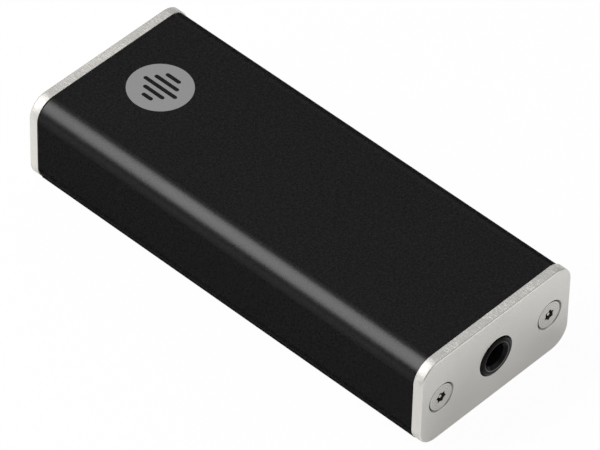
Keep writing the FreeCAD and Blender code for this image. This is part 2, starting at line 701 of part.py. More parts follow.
def chip_body(doc, label, chip, across, along_board):
    body = new_body(doc, label, x=across, y=along_board, z=board_top)
    half_x, half_y = f"Sizes.{chip}_width / 2", f"Sizes.{chip}_length / 2"
    top = f"(Sizes.seat_gap + Sizes.{chip}_height)"
    block = box(body, "Moulding", [f"-{half_x}", f"-{half_y}", "Sizes.seat_gap"], [half_x, half_y, top])
    chamfer(body, "TopEdge", block, "Sizes.moulding_chamfer", flat_at(axis_z, evaluate(doc, top)))
    mark = sketch_on(body, "MarkLine", "XY_Plane", top)
    circle(mark, f"-{half_x} + Sizes.mark_inset", f"-{half_y} + Sizes.mark_inset", "Sizes.mark_diameter")
    pocket(body, "LeadMark", mark, "Sizes.mark_depth")
    return body


def chip_leads(doc, label, chip, across, along_board, sides):
    body = new_body(doc, label, x=across, y=along_board, z=board_top)
    run = f"(Sizes.{chip}_lead_pitch * (Sizes.{chip}_leads - 1))"
    low_y, high_y = (f"-{run} / 2 {sign} Sizes.{chip}_lead_width / 2" for sign in "-+")
    face = f"Sizes.{chip}_width / 2"
    knee = f"({face} + Sizes.{chip}_lead_reach / 2)"
    back = f"({knee} - Sizes.lead_thickness)"
    shoulder = f"(Sizes.seat_gap + Sizes.{chip}_height / 2)"
    top = f"{shoulder} + Sizes.lead_thickness"
    pieces = [
        box(body, "Shoulder", [face, low_y, shoulder], [knee, high_y, top]),
        box(body, "Leg", [back, low_y, "0"], [knee, high_y, top]),
        box(body, "Foot", [back, low_y, "0"],
            [f"{face} + Sizes.{chip}_lead_reach", high_y, "Sizes.lead_thickness"]),
    ]
    every = body.newObject("PartDesign::MultiTransform", "Leads")
    every.Originals = pieces
    row = body.newObject("PartDesign::LinearPattern", "Side")
    row.Direction = (origin_of(body, "Y_Axis"), [""])
    row.setExpression("Length", run)
    row.setExpression("Occurrences", f"Sizes.{chip}_leads")
    around = body.newObject("PartDesign::PolarPattern", "Around")
    around.Axis = (origin_of(body, "Z_Axis"), [""])
    around.Angle = 360
    around.Occurrences = sides
    every.Transformations = [row, around]
    body.Tip = every
    return body


def chip_and_leads(doc, label, chip, along_board=None, across="0", sides=2):
    place = along_board or f"{board_front} + Sizes.{chip}_station"
    return [chip_body(doc, label, chip, across, place),
            chip_leads(doc, f"{label}_leads", chip, across, place, sides)]


def beside(neighbour, chip, side=1):
    """Where a chip stands across the board, with its leads clear of a neighbour in the middle."""
    return (f"{side} * (Sizes.{neighbour}_width / 2 + Sizes.part_gap"
            f" + Sizes.{chip}_lead_reach + Sizes.{chip}_width / 2)")


def voltage_regulators(doc):
    pairs = [chip_and_leads(doc, f"regulator_{name}", "regulator",
                            across=beside("jack", "regulator", side))
             for side, name in left_and_right]
    bodies, leads = zip(*pairs)
    return [group(doc, "voltage_regulators", list(bodies)),
            group(doc, "voltage_regulator_leads", list(leads))]


# Can capacitors, crystal and choke

def can_capacitor(doc, name, kind, across, station):
    """A drawn can on a square base with two cut corners, and a tab under each end."""
    place = {"x": across, "y": f"{board_front} + {station}", "z": board_top}
    half = f"(Sizes.{kind}_can / 2 + Sizes.can_base_margin)"
    cut = f"({half} - Sizes.can_base_corner)"
    base = new_body(doc, f"{name}_base", **place)
    lines = sketch_on(base, "BaseLines", "XY_Plane", "Sizes.lead_thickness")
    polygon(lines, [(f"-{half}", f"-{half}"), (half, f"-{half}"), (half, cut), (cut, half),
                    (f"-{cut}", half), (f"-{half}", cut)])
    pad(base, "Base", lines, "Sizes.can_base_height")

    can = new_body(doc, f"{name}_can", **place)
    foot = "(Sizes.lead_thickness + Sizes.can_base_height)"
    top = f"({foot} + Sizes.{kind}_can_height)"
    radius, groove = f"Sizes.{kind}_can / 2", f"({foot} + Sizes.can_groove_height)"
    profile = sketch_on(can, "Profile", "XZ_Plane")
    polygon(profile, [("0", foot), (radius, foot), (radius, f"{groove} - Sizes.can_groove_depth"),
                      (f"{radius} - Sizes.can_groove_depth", groove),
                      (radius, f"{groove} + Sizes.can_groove_depth"),
                      (radius, f"{top} - Sizes.can_shoulder"),
                      (f"{radius} - Sizes.can_shoulder", top), ("0", top)])
    turn_round(can, "Drawn", profile)

    tabs = new_body(doc, f"{name}_tabs", **place)
    tab_half, inner = "Sizes.can_tab_width / 2", "Sizes.can_base_corner"
    outer = f"({half} + Sizes.can_tab_reach)"
    box(tabs, "FrontTab", [f"-{tab_half}", f"-{outer}", "0"],
        [tab_half, f"-{inner}", "Sizes.lead_thickness"])
    box(tabs, "RearTab", [f"-{tab_half}", inner, "0"], [tab_half, outer, "Sizes.lead_thickness"])
    return can, base, tabs


def can_capacitors(doc):
    made = []
    for side, name in left_and_right:
        output_half = "(Sizes.output_can / 2 + Sizes.can_base_margin)"
        supply_half = "(Sizes.supply_can / 2 + Sizes.can_base_margin)"
        made.append(can_capacitor(doc, f"output_{name}", "output",
                                  f"{side} * ({output_half} + Sizes.part_gap / 2)",
                                  "Sizes.output_can_station"))
        made.append(can_capacitor(doc, f"supply_{name}", "supply",
                                  f"{side} * (Sizes.crystal_length / 2 + Sizes.part_gap + {supply_half})",
                                  "Sizes.crystal_station"))
    cans, bases, tabs = zip(*made)
    return [group(doc, "capacitor_cans", list(cans)), group(doc, "capacitor_bases", list(bases)),
            group(doc, "capacitor_tabs", list(tabs))]


def crystal(doc):
    place = {"y": f"{board_front} + Sizes.crystal_station", "z": board_top}
    half_x, half_y = "Sizes.crystal_length / 2", "Sizes.crystal_width / 2"
    seam, margin = "(Sizes.seat_gap + Sizes.crystal_tray_height)", "Sizes.crystal_lid_margin"
    tray = new_body(doc, "crystal_tray", **place)
    box(tray, "Tray", [f"-{half_x}", f"-{half_y}", "Sizes.seat_gap"], [half_x, half_y, seam])
    lid = new_body(doc, "crystal_lid", **place)
    cap = box(lid, "Lid", [f"-{half_x} + {margin}", f"-{half_y} + {margin}", seam],
              [f"{half_x} - {margin}", f"{half_y} - {margin}", f"{seam} + Sizes.crystal_lid_height"])
    fillet(lid, "LidCorners", cap, margin, along(axis_z))
    return [tray, lid]


def choke(doc):
    place = {"x": "-(Sizes.usb_width / 2 + Sizes.part_gap + Sizes.choke_side / 2)",
             "y": f"{usb_mouth} - Sizes.inlet_set_back", "z": board_top}
    half, foot = "(Sizes.choke_side / 2)", "Sizes.lead_thickness"
    top = f"({foot} + Sizes.choke_height)"
    core = new_body(doc, "power_choke", **place)
    block = box(core, "Core", [f"-{half}", f"-{half}", foot], [half, half, top])
    chamfer(core, "CoreCorners", block, "Sizes.choke_corner", along(axis_z))
    dish_line = sketch_on(core, "DishLine", "XY_Plane", top)
    circle(dish_line, "0", "0", "Sizes.choke_dish")
    pocket(core, "Dish", dish_line, "Sizes.choke_dish_depth")
    feet = new_body(doc, "power_choke_feet", **place)
    reach = f"({half} - Sizes.choke_foot)"
    box(feet, "LeftFoot", [f"-{half}", f"-{reach}", "0"], [f"-{reach}", reach, foot])
    box(feet, "RightFoot", [reach, f"-{reach}", "0"], [half, reach, foot])
    return [core, feet]


# Chip capacitors and resistors, in rows along the board beside the chips

def chip_components(doc, label, height, side):
    middles, ends = [], []
    half, inner = "(Sizes.chip_length / 2)", "(Sizes.chip_length / 2 - Sizes.chip_end)"
    foot, top = "Sizes.seat_gap", f"Sizes.seat_gap + {height}"
    for chip in ("amplifier", "converter", "controller"):
        place = {"x": f"{side} * Sizes.chip_aisle", "y": f"{board_front} + Sizes.{chip}_station",
                 "z": board_top}
        run = f"(Sizes.chip_pitch * (Sizes.{chip}_row - 1))"
        low_y, high_y = (f"-{run} / 2 {sign} Sizes.chip_width / 2" for sign in "-+")
        middle = new_body(doc, f"{label}_{chip}", **place)
        core = box(middle, "Core", [f"-{inner}", low_y, foot], [inner, high_y, top])
        row_of(middle, "Row", [core], "Y_Axis", run, f"Sizes.{chip}_row")
        caps = new_body(doc, f"{label}_{chip}_ends", **place)
        left = box(caps, "LeftEnd", [f"-{half}", low_y, "0"], [f"-{inner}", high_y, top])
        right = box(caps, "RightEnd", [inner, low_y, "0"], [half, high_y, top])
        row_of(caps, "Row", [left, right], "Y_Axis", run, f"Sizes.{chip}_row")
        middles.append(middle)
        ends.append(caps)
    return [group(doc, label, middles), group(doc, f"{label[:-1]}_ends", ends)]


def check(doc, parts):
    doc.recompute()
    failed = [item.Name for item in doc.Objects if "Invalid" in item.State or "Error" in item.State]
    bad = [part.Label for part in parts if part.Shape.isNull() or not part.Shape.isValid()
           or not part.Shape.Solids]
    if failed or bad:
        raise RuntimeError(f"failed features {failed}, failed parts {bad}")


def build():
    doc = FreeCAD.newDocument("UsbHeadphoneConverter")
    make_sheet(doc)
    parts = [
        body_sleeve(doc), front_plate(doc), rear_plate(doc),
        end_screws(doc, "front", facing_front, f"{front_face} + Sizes.head_recess"),
        end_screws(doc, "rear", facing_rear, f"{rear_face} - Sizes.head_recess"),
        circuit_board(doc),
        jack_housing(doc),
        jack_spring(doc, "tip", "XY_Plane", side=1, toward=1),
        jack_spring(doc, "ring", "XY_Plane", side=-1, toward=-1),
        jack_spring(doc, "ground", "YZ_Plane", side=-1, toward=-1),
        *jack_terminals(doc),
        usb_shell(doc), usb_insulator(doc), usb_contacts(doc),
        *chip_and_leads(doc, "headphone_amplifier", "amplifier"),
        *chip_and_leads(doc, "audio_converter", "converter"),
        *chip_and_leads(doc, "usb_controller", "controller", sides=4),
        *chip_and_leads(doc, "memory_chip", "memory"),
        *chip_and_leads(doc, "surge_diode", "surge", f"{usb_mouth} - Sizes.inlet_set_back",
                        beside("usb", "surge")),
        *voltage_regulators(doc), *can_capacitors(doc), *crystal(doc), *choke(doc),
        *chip_components(doc, "chip_capacitors", "Sizes.chip_capacitor_height", -1),
        *chip_components(doc, "chip_resistors", "Sizes.chip_resistor_height", 1),
    ]
    check(doc, parts)
    os.makedirs("parts", exist_ok=True)
    for part in parts:
        part.Shape.exportStep(f"parts/{part.Label}.step")
        print(f"{part.Label}: {len(part.Shape.Solids)} solid(s), {part.Shape.Volume:.2f} mm3")
    print(f"{len(parts)} nodes")


build()
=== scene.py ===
import math

import bpy
from mathutils import Matrix, Vector


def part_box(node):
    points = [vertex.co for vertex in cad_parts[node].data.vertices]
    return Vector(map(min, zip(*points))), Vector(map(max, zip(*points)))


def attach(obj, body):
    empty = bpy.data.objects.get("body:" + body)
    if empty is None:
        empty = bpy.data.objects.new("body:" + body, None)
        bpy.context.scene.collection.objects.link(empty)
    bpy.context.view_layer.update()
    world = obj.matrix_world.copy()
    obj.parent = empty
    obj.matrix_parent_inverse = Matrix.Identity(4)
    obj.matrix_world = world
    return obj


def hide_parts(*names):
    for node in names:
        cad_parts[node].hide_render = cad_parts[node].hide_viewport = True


mm = 0.001
close = 0.01                          # how near a picked corner lies to its plane, in millimetres
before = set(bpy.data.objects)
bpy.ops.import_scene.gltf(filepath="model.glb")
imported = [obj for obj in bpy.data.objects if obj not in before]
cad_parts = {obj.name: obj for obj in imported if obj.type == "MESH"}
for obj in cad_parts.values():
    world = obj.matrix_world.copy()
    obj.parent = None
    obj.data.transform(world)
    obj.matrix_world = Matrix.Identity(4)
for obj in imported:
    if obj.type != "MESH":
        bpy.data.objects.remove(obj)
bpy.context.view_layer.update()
print("frame loaded:", len(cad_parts), "nodes")


# Modelling helpers

def use(*pieces):                     # selects these objects and nothing else
    if bpy.context.object and bpy.context.object.mode != "OBJECT":
        bpy.ops.object.mode_set(mode="OBJECT")
    bpy.ops.object.select_all(action="DESELECT")
    for piece in pieces:
        piece.select_set(True)
    if pieces:
        bpy.context.view_layer.objects.active = pieces[0]


def keepPlace(name):                  # names the new object and puts its place into its mesh
    piece = bpy.context.object
    piece.name = piece.data.name = name
    bpy.ops.object.transform_apply(location=True, rotation=True, scale=True)
    return piece


def block(name, low, high):
    use()
    low, high = Vector(low) * mm, Vector(high) * mm
    bpy.ops.mesh.primitive_cube_add(size=1, location=(low + high) / 2, scale=high - low)
    return keepPlace(name)


def rodAlongY(name, x, z, radius, start, end, vertices):
    use()
    bpy.ops.mesh.primitive_cylinder_add(
        vertices=vertices, radius=radius * mm, depth=(end - start) * mm,
        location=(x * mm, (start + end) / 2 * mm, z * mm), rotation=(math.radians(90), 0, 0))
    return keepPlace(name)


def coneAlongY(name, x, z, radiusStart, radiusEnd, start, end, vertices):
    use()
    bpy.ops.mesh.primitive_cone_add(
        vertices=vertices, radius1=radiusEnd * mm, radius2=radiusStart * mm, depth=(end - start) * mm,
        location=(x * mm, (start + end) / 2 * mm, z * mm), rotation=(math.radians(90), 0, 0))
    return keepPlace(name)


def pick(piece, edgeTest=None, vertexTest=None):      # goes into edit mode with the picked edges or corners
    use(piece)
    mesh = piece.data
    for parts in (mesh.vertices, mesh.edges, mesh.polygons):
        parts.foreach_set("select", [False] * len(parts))
    bpy.context.tool_settings.mesh_select_mode = (vertexTest is not None, edgeTest is not None, False)
    if vertexTest:
        for vertex in mesh.vertices:
            vertex.select = vertexTest(vertex.co / mm)
    if edgeTest:
        for edge in mesh.edges:
            edge.select = edgeTest(*(mesh.vertices[i].co / mm for i in edge.vertices))
    bpy.ops.object.mode_set(mode="EDIT")


def alongY(a, b):                     # is true for the edges that run along the case
    return abs(a.y - b.y) > 1


def atY(place):                       # picks the edges that lie in the plane at this Y
    return lambda a, b: abs(a.y - place) < close and abs(b.y - place) < close


def bevel(piece, width, segments, edgeTest):
    pick(piece, edgeTest=edgeTest)
    bpy.ops.mesh.bevel(offset=width * mm, segments=segments, affect="EDGES")
    bpy.ops.object.mode_set(mode="OBJECT")


def closeMesh(piece):                 # turns all faces outward and goes back to object mode
    bpy.ops.mesh.select_all(action="SELECT")
    bpy.ops.mesh.normals_make_consistent(inside=False)
    bpy.ops.object.mode_set(mode="OBJECT")
    return piece


def modify(piece, kind, **settings):  # adds one modifier and applies it
    use(piece)
    modifier = piece.modifiers.new(kind.title(), kind)
    for setting, value in settings.items():
        setattr(modifier, setting, value)
    bpy.ops.object.modifier_apply(modifier=modifier.name)


def boolean(piece, operation, *tools):
    for tool in tools:
        modify(piece, "BOOLEAN", operation=operation, solver="EXACT", object=tool)
        bpy.data.objects.remove(tool)


def finishMesh(piece, edgeRound):     # breaks the sharp edges, and shades the rest smooth
    modify(piece, "BEVEL", width=edgeRound * mm, segments=2, limit_method="ANGLE",
           angle_limit=math.radians(40), use_clamp_overlap=True)
    use(piece)
    bpy.ops.object.shade_smooth_by_angle(angle=math.radians(35))
    modify(piece, "WEIGHTED_NORMAL", mode="FACE_AREA", weight=50, keep_sharp=True)


def copyNode(node, name):             # a merged copy of a CAD node, free to be worked on
    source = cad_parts[node]
    piece = source.copy()
    piece.data = source.data.copy()
    piece.name = piece.data.name = name
    piece.parent = None
    for key in list(piece.keys()):
        del piece[key]
    bpy.context.scene.collection.objects.link(piece)
    use(piece)
    bpy.ops.mesh.customdata_custom_splitnormals_clear()
    bpy.ops.object.mode_set(mode="EDIT")
    bpy.ops.mesh.select_all(action="SELECT")
    bpy.ops.mesh.remove_doubles(threshold=0.002 * mm)
    bpy.ops.mesh.dissolve_limited(angle_limit=math.radians(0.5))  # leaves one face for each flat side
    bpy.ops.object.mode_set(mode="OBJECT")
    return piece


def wear(piece, finish, body="case"):
    piece.data.materials.clear()
    piece.data.materials.append(finish)
    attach(piece, body)


# Shader helpers

class Level:                          # a number on a surface, worked with in plain arithmetic
    def __init__(self, finish, socket):
        self.finish, self.socket = finish, socket

    def work(self, operation, first, second=0.0):
        return self.finish.node("ShaderNodeMath", {"operation": operation}, {0: first, 1: second})

    def __add__(self, other):
        return self.work("ADD", self, other)

    def __radd__(self, other):
        return self.work("ADD", other, self)

    def __sub__(self, other):
        return self.work("SUBTRACT", self, other)

    def __rsub__(self, other):
        return self.work("SUBTRACT", other, self)

    def __mul__(self, other):
        return self.work("MULTIPLY", self, other)

    def __rmul__(self, other):
        return self.work("MULTIPLY", other, self)

    def __truediv__(self, other):
        return self.work("DIVIDE", self, other)

    def __pow__(self, other):
        return self.work("POWER", self, other)

    def __abs__(self):
        return self.work("ABSOLUTE", self)

    def __gt__(self, other):
        return self.work("GREATER_THAN", self, other)

    def __lt__(self, other):
        return self.work("LESS_THAN", self, other)

    def sine(self):
        return self.work("SINE", self)

    def least(self, other):
        return self.work("MINIMUM", self, other)

    def most(self, other):
        return self.work("MAXIMUM", self, other)

    def zigzag(self, height):
        return self.work("PINGPONG", self, height)

    def whole(self):
        return self.work("FLOOR", self)


class Finish:                         # one material, or the world, built from nodes
    def __init__(self, name, world=None):
        self.material = world or bpy.data.materials.new(name)
        self.material.use_nodes = True
        self.tree = self.material.node_tree
        self.tree.nodes.clear()
        self.place = self.node("ShaderNodeTexCoord", out="Object")

    def node(self, kind, settings=None, inputs=None, out=0):
        made = self.tree.nodes.new(kind)
        for name, value in (settings or {}).items():
            setattr(made, name, value)
        for name, value in (inputs or {}).items():
            if isinstance(value, Level):
                self.tree.links.new(value.socket, made.inputs[name])
            else:
                made.inputs[name].default_value = value
        return Level(self, made.outputs[out])

    def axes(self):
        split = self.node("ShaderNodeSeparateXYZ", inputs={0: self.place})
        return [Level(self, socket) for socket in split.socket.node.outputs]

    def noise(self, perMillimetre, detail=2, roughness=0.5, place=None):
        return self.node("ShaderNodeTexNoise", None, {
            "Vector": place or self.place, "Scale": perMillimetre / mm, "Detail": detail,
            "Roughness": roughness}, out="Fac")

    def stretched(self, scale, turn=(0, 0, 0)):       # the place, scaled unevenly along X, Y and Z
        return self.node("ShaderNodeMapping", None, {
            "Vector": self.place, "Rotation": [math.radians(a) for a in turn], "Scale": scale})

    def tint(self, level, dark, light):               # a colour between two, by a level from 0 to 1
        if not isinstance(dark, Level):
            dark = (*dark, 1)
        return self.node("ShaderNodeMix", {"data_type": "RGBA"}, {0: level, 6: dark, 7: (*light, 1)}, out=2)

    def bump(self, height, depth):                    # depth in millimetres
        return self.node("ShaderNodeBump", None, {"Height": height, "Distance": depth * mm})

    def surface(self, **inputs):
        longNames = {"baseColor": "Base Color", "specularLevel": "Specular IOR Level",
                     "specularTint": "Specular Tint"}
        shader = self.node("ShaderNodeBsdfPrincipled", None, {
            longNames.get(name, name.title()): value for name, value in inputs.items()})
        self.toOutput(shader)
        return self.material

    def toOutput(self, shader, kind="ShaderNodeOutputMaterial"):
        output = self.tree.nodes.new(kind)
        self.tree.links.new(shader.socket, output.inputs["Surface"])


# Sleeve: black anodising over a fine bead blast. In all looks, grain, cloud and other noises are
# given per millimetre, and depths in millimetres.

sleeveLook = {"dark": (0.0104, 0.0104, 0.0104), "light": (0.0424, 0.0424, 0.0424),
              "grain": 2.7, "fineGrain": 7.0, "cloud": 0.06, "grainDepth": 0.012,
              "metallic": 0.88, "metallicByFine": 0.65, "metallicByGrain": 0.4,
              "specularLevel": 0.04, "specularTint": (0.16, 0.16, 0.16, 1),
              "roughness": 0.34, "roughnessByCloud": 0.06, "roughnessByGrain": 0.08}


def sleeveFinish():
    look = sleeveLook
    finish = Finish("beadBlastedBlack")
    grain = finish.noise(look["grain"], detail=3, roughness=0.7)
    fine = finish.noise(look["fineGrain"], detail=1)
    cloud = finish.noise(look["cloud"], detail=3)
    overGrain, overFine, overCloud = grain - 0.5, fine - 0.5, cloud - 0.5
    shade = finish.tint(overGrain * 0.7 + overFine * 0.3 + 0.5, look["dark"], look["light"])
    return finish.surface(
        baseColor=shade,
        metallic=look["metallic"] - overFine * look["metallicByFine"] - overGrain * look["metallicByGrain"],
        specularLevel=look["specularLevel"], specularTint=look["specularTint"],
        roughness=(look["roughness"] + look["roughnessByCloud"] * overCloud
                   + look["roughnessByGrain"] * overGrain),
        normal=finish.bump(grain * 0.6 + fine * 0.4, look["grainDepth"]))


beadBlastedBlack = sleeveFinish()
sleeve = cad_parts["body_sleeve"]
sleeve.data.materials.clear()
sleeve.data.materials.append(beadBlastedBlack)
print("sleeve finished")


# End plates: satin faces, and sawn edges with marks across the sheet

plate = {"cornerRadius": 3.2, "chamfer": 0.24, "backEdge": 0.05, "holeEdge": 0.04,
         "shankRadius": 1.4, "sinkRadius": 2.46, "screwX": 10.9, "screwZ": 7.5,
         "noseRadius": 3.25, "noseZ": 7.5,
         "usbFoot": 4.1, "usbHeight": 3.9, "usbHalf": 3.85, "usbShoulder": 1.4, "usbSlope": 0.8,
         "usbGap": 0.25, "usbCorner": 0.8}
# The dark colour paints a shadow in the countersinks, and lends the sawn long edges a lighter share of it
# as their own darker tone.
plateLook = {"dark": (0.61, 0.596, 0.57), "light": (0.97, 0.947, 0.906),
             "sinkShadowAndEdgeTone": (0.15, 0.147, 0.137), "sinkShadowStart": 0.03, "sinkShadowCover": 0.75, "edgeCover": 0.26,
             "satin": 9.0, "patches": 0.45, "cloud": 0.09, "satinContrast": 0.35, "cloudContrast": 0.4,
             "marksPerMillimetre": 4.6, "markContrast": 2.9, "edgeDarker": 0.46, "markDepth": 0.03,
             "roughness": 0.40, "rimRougher": 0.22, "roughnessByCloud": 0.05, "roughnessByMarks": 0.12}
outerFaces = {"front": -37.35, "rear": 37.65}     # where the plates' outer faces lie along Y


def fromScrewAxis(x, z):              # in millimetres, for all four screws at once
    across = (abs(x) - plate["screwX"] * mm) / mm
    up = (z - plate["screwZ"] * mm) / mm
    return (across ** 2 + up ** 2) ** 0.5


def belowFace(y):                     # how deep a point lies behind the nearer plate's outer face
    return (y / mm - outerFaces["front"]).least(outerFaces["rear"] - y / mm)


def plateFinish():
    look = plateLook
    finish = Finish("satinAluminium")
    x, y, z = finish.axes()
    facing = finish.node("ShaderNodeNewGeometry", out="Normal")
    split = finish.node("ShaderNodeSeparateXYZ", inputs={0: facing}).socket.node
    alongCase, upward = (Level(finish, split.outputs[name]) for name in "YZ")
    rim = abs(alongCase) < 0.25       # all round the plate
    edge = rim * abs(upward)          # the sawn long edges, not the smooth short ones
    slanted = finish.stretched((1, 0.28, 1), turn=(0, 0, 12))
    marks = finish.noise(look["marksPerMillimetre"], detail=3, roughness=0.8, place=slanted)
    patches = finish.noise(look["patches"])
    satin = finish.noise(look["satin"], roughness=0.6)
    overCloud = finish.noise(look["cloud"]) - 0.5
    edgeMarks = edge * (marks - 0.5) * 2.4 * (patches * 1.5 - 0.1)
    level = (0.5 + (satin - 0.5) * look["satinContrast"] + overCloud * look["cloudContrast"]
             + edgeMarks * look["markContrast"] - edge * look["edgeDarker"])
    shade = finish.tint(level.most(0).least(1), look["dark"], look["light"])
    # Painted shadow: the countersinks, a little behind the face, are tinted toward the dark colour; the
    # sawn long edges get less of it.
    paintedSinkShadow = (fromScrewAxis(x, z) < plate["sinkRadius"] + close) * (belowFace(y) > look["sinkShadowStart"])
    shadowAndEdgeCover = (paintedSinkShadow * look["sinkShadowCover"]).most(edge * look["edgeCover"])
    shade = finish.tint(shadowAndEdgeCover, shade, look["sinkShadowAndEdgeTone"])
    return finish.surface(
        baseColor=shade, metallic=1.0,
        roughness=(look["roughness"] + rim * look["rimRougher"] + overCloud * look["roughnessByCloud"]
                   + edgeMarks * look["roughnessByMarks"]),
        normal=finish.bump(satin * 0.12 + edgeMarks, look["markDepth"]))


def usbCutter(name, start, end):      # a prism of the USB opening's outline, from start to end along Y
    foot, half = plate["usbFoot"], plate["usbHalf"] + plate["usbGap"]
    low, high = foot - plate["usbGap"], foot + plate["usbHeight"] + plate["usbGap"]
    cutter = block(name, (-half, start, low), (half, end, high))
    shoulder = foot + plate["usbShoulder"]
    bevel(cutter, plate["usbSlope"], 1, lambda a, b: alongY(a, b) and a.z < shoulder)
    pick(cutter, vertexTest=lambda v: low + close < v.z < high - close)
    bpy.ops.transform.translate(value=(0, 0, (shoulder - low - plate["usbSlope"]) * mm))
    bpy.ops.object.mode_set(mode="OBJECT")
    bevel(cutter, plate["usbCorner"], 6, alongY)
    return cutter


def endPlate(name, node, outward):
    low, high = (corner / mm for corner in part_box(node))
    face, back = (low.y, high.y) if outward < 0 else (high.y, low.y)
    start, end = low.y - 1, high.y + 1            # the cutters run past both faces
    piece = block(name, low, high)
    bevel(piece, plate["cornerRadius"], 16, alongY)
    bevel(piece, plate["chamfer"], 3, atY(face))
    bevel(piece, plate["backEdge"], 2, atY(back))
    past = 0.5                        # how far the countersink's cone runs on outside the face
    shank, flare = plate["shankRadius"], plate["sinkRadius"] + past
    inside, outside = face - outward * (plate["sinkRadius"] - shank), face + outward * past
    for side in (-1, 1):
        x, z = side * plate["screwX"], plate["screwZ"]
        hole = rodAlongY("hole", x, z, shank, start, end, 72)
        if outward < 0:
            sink = coneAlongY("sink", x, z, flare, shank, outside, inside, 72)
        else:
            sink = coneAlongY("sink", x, z, shank, flare, inside, outside, 72)
        boolean(piece, "DIFFERENCE", hole, sink)
    if outward < 0:
        opening = rodAlongY("hole", 0, plate["noseZ"], plate["noseRadius"], start, end, 128)
    else:
        opening = usbCutter("hole", start, end)
    boolean(piece, "DIFFERENCE", opening)
    finishMesh(piece, plate["holeEdge"])
    return piece


satinAluminium = plateFinish()
nearPlate = endPlate("headphoneEndPlate", "front_plate", -1)
farPlate = endPlate("usbEndPlate", "rear_plate", 1)
for piece, node in ((nearPlate, "front_plate"), (farPlate, "rear_plate")):
    wear(piece, satinAluminium)
    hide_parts(node)
print("end plates made")


# Screws: turned countersunk heads with a six-lobed drive and a pin in its middle

screw = {"headRadius": 2.15, "rimRound": 0.05, "rim": 0.2, "shankRadius": 1.25, "length": 8.0,
         "tipChamfer": 0.35, "edgeRound": 0.025,
         "driveRadius": 1.05, "driveValley": 0.73, "driveRound": 0.15,
         "driveDepth": 1.0, "driveTaper": 0.86, "pinRadius": 0.275, "pinTop": 0.15, "pinRound": 0.08,
         "recess": 0.08, "threadPitch": 0.45, "threadDepth": 0.2, "threadShares": (0.15, 0.5, 0.85)}
screwTurns = {"front": (12, 38), "rear": (5, 27)}     # in degrees, the left screw of each pair first
# The drive colour is a painted shadow, for the drive's hollow and for the gap round the head.
screwLook = {"dark": (0.50, 0.489, 0.465), "light": (0.93, 0.911, 0.873),
             "drive": (0.10, 0.098, 0.093), "driveShadowFrom": 0.12, "pinShadowFrom": 0.3,
             "gapShadowFrom": 0.13, "gapShadowInset": 0.08, "gapShadowCover": 0.85,
             "ringsPerMillimetre": 2.6, "fineRings": 3.1, "ringDepth": 0.014,
             "wobble": 0.8, "grain": 6.0, "roughness": 0.30, "roughnessByGrain": 0.08}


def screwFinish():
    look = screwLook
    finish = Finish("turnedSteel")
    x, y, z = finish.axes()
    fromAxis, depth = fromScrewAxis(x, z), belowFace(y)
    wobble = finish.noise(look["wobble"])
    turns = fromAxis * look["ringsPerMillimetre"] * math.tau
    rings = (turns + wobble * 1.2).sine() * 0.5 + 0.5
    fineRings = (turns * look["fineRings"]).sine() * 0.5 + 0.5
    grain = finish.noise(look["grain"])
    turned = rings * 0.6 + fineRings * 0.25 + grain * 0.15
    margin = 0.02                     # the dark shade's borders lie just off the drive's walls
    besidePin = (fromAxis > screw["pinRadius"] + margin).most(depth > look["pinShadowFrom"])
    # Painted shadow: below the head's top, the drive's hollow and the gap round the head are tinted dark.
    paintedDriveShadow = (depth > look["driveShadowFrom"]) * (fromAxis < screw["driveRadius"] + margin) * besidePin
    paintedGapShadow = (depth > look["gapShadowFrom"]) * (fromAxis > screw["headRadius"] - look["gapShadowInset"])
    shade = finish.tint(turned * 0.5 + wobble * 0.4 + 0.05, look["dark"], look["light"])
    shade = finish.tint(paintedDriveShadow.most(paintedGapShadow * look["gapShadowCover"]), shade, look["drive"])
    return finish.surface(baseColor=shade, metallic=1.0,
                          roughness=look["roughness"] + grain * look["roughnessByGrain"],
                          normal=finish.bump(turned, look["ringDepth"]))


def shrink(share, y):                 # resizes what is picked toward the screw's axis
    bpy.ops.transform.resize(value=(share, 1, share), center_override=(0, y * mm, 0))


def extrudeAlongY(length):
    bpy.ops.mesh.extrude_region_move(TRANSFORM_OT_translate={"value": (0, length * mm, 0)})


def driveCutter():                    # a six-pointed star, rounded at its points and valleys
    above = 0.5                       # how far it stands out over the head's top
    use()
    bpy.ops.mesh.primitive_circle_add(vertices=12, radius=screw["driveRadius"] * mm, fill_type="NGON",
                                      rotation=(math.radians(90), 0, 0), location=(0, -above * mm, 0))
    star = keepPlace("drive")

    def valley(v):                    # every second corner, half-way between two points
        return abs(math.degrees(math.atan2(v.z, v.x)) % 60 - 30) < 5
    pick(star, vertexTest=valley)
    shrink(screw["driveValley"] / screw["driveRadius"], -above)
    bpy.ops.mesh.select_all(action="SELECT")
    bpy.ops.mesh.bevel(offset=screw["driveRound"] * mm, segments=5, affect="VERTICES")
    bpy.ops.mesh.select_all(action="SELECT")
    extrudeAlongY(above + screw["driveDepth"])
    shrink(screw["driveTaper"], screw["driveDepth"])
    return closeMesh(star)


